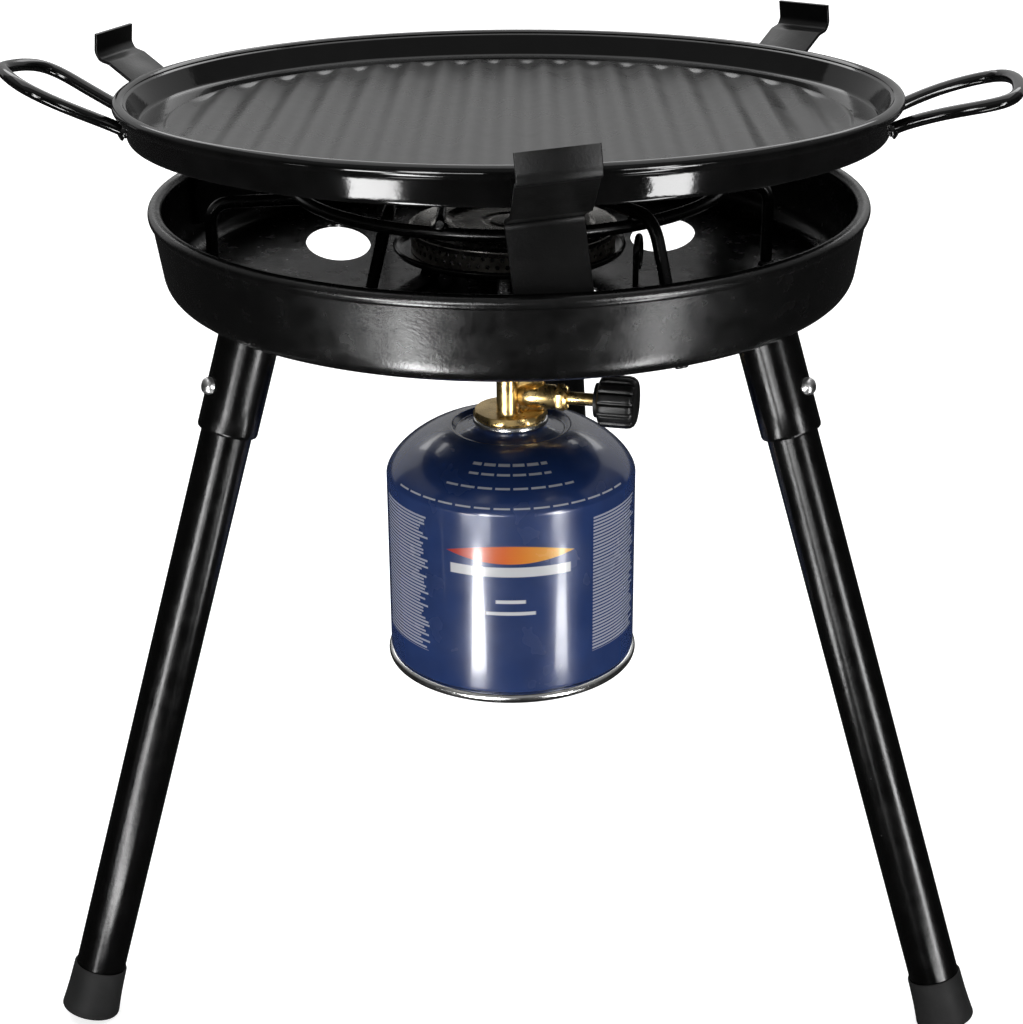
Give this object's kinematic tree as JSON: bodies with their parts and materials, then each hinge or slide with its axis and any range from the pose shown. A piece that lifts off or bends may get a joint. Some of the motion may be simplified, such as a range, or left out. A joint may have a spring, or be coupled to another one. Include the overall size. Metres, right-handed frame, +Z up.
{
  "type": "propane burner stand",
  "caption": "Table-top gas burner stand: round bowl with burner and wire pot support on splayed tube legs, ribbed griddle pan on sheet brackets, screw-on gas cartridge below.",
  "frame": {"origin": "on the floor, straight below the burner axis", "axes": "+Z up along the burner axis, -Y towards the front bracket side, +X to the right seen from the front"},
  "size_m": [0.4051, 0.4073, 0.3859],
  "materials": {
    "enamel": "gloss black enamel",
    "handle_enamel": "gloss black enamel",
    "bowl_coat": "satin black powder coat",
    "bracket_coat": "matte black powder coat",
    "wire_coat": "satin black",
    "stainless": "bright stainless",
    "zinc": "bright zinc",
    "brass": "machined",
    "rubber": "matte",
    "knob_plastic": "black, finely textured",
    "can_lacquer": "gloss dark blue lacquer",
    "tin": "tinplate",
    "leg_coat": "satin black powder coat"
  },
  "bodies": {
    "stand": {"bowl": "bowl_coat", "bracket_front": "bracket_coat", "bracket_left": "bracket_coat", "bracket_right": "bracket_coat", "trivet_ring": "wire_coat", "trivet_arm_left": "wire_coat", "trivet_arm_right": "wire_coat", "trivet_arm_front": "wire_coat", "trivet_arm_rear": "wire_coat", "trivet_stay": "wire_coat", "trivet_bar_left": "wire_coat", "trivet_bar_right": "wire_coat", "trivet_nut_front": "zinc", "trivet_nut_rear": "zinc", "burner_saucer": "wire_coat", "burner_flame_ring": "stainless", "burner_cap": "stainless", "burner_tube": "zinc", "burner_strap": "wire_coat", "burner_post_front": "zinc", "burner_post_rear": "zinc", "burner_hook": "wire_coat", "burner_lock_nut": "zinc", "valve_body": "brass", "valve_jet": "brass", "valve_seal": "rubber", "gland_nut": "brass", "leg_socket_left": "leg_coat", "leg_socket_right": "leg_coat", "leg_socket_rear": "leg_coat", "leg_tube_left": "leg_coat", "leg_tube_right": "leg_coat", "leg_tube_rear": "leg_coat", "foot_left": "rubber", "foot_right": "rubber", "foot_rear": "rubber", "button_spring_left": "zinc", "button_spring_right": "zinc", "button_spring_rear": "zinc"},
    "griddle": {"griddle_pan": "enamel", "griddle_handle_left": "handle_enamel", "griddle_handle_right": "handle_enamel"},
    "knob": {"knob": "knob_plastic", "valve_stem": "brass"},
    "cartridge": {"cartridge_shell": "can_lacquer", "cartridge_base": "tin", "cartridge_cup": "tin", "cartridge_stem": "tin"},
    "button_left": {"button_left": "zinc"},
    "button_right": {"button_right": "zinc"},
    "button_rear": {"button_rear": "zinc"}
  },
  "joints": [
    {"name": "griddle_lift", "type": "slide", "parent": "stand", "child": "griddle", "axis": [0, 0, 1], "range_m": [0, 0.1]},
    {"name": "cartridge_unscrew", "type": "slide", "parent": "stand", "child": "cartridge", "axis": [0, 0, -1], "range_m": [0, 0.1]},
    {"name": "knob_turn", "type": "hinge", "parent": "stand", "child": "knob", "pos_m": [0.04482, -0.01235, 0.236], "axis": [0.9744, -0.225, 0], "range_deg": [0, 270]},
    {"name": "button_left_press", "type": "slide", "parent": "stand", "child": "button_left", "axis": [0.8032, 0.5097, -0.3082], "range_m": [0, 0.005], "stiffness_N_per_m": 400, "springref_m": -0.002},
    {"name": "button_right_press", "type": "slide", "parent": "stand", "child": "button_right", "axis": [-0.7848, 0.5274, -0.3256], "range_m": [0, 0.005], "stiffness_N_per_m": 400, "springref_m": -0.002},
    {"name": "button_rear_press", "type": "slide", "parent": "stand", "child": "button_rear", "axis": [-0.1599, -0.9353, -0.3156], "range_m": [0, 0.005], "stiffness_N_per_m": 400, "springref_m": -0.002}
  ]
}
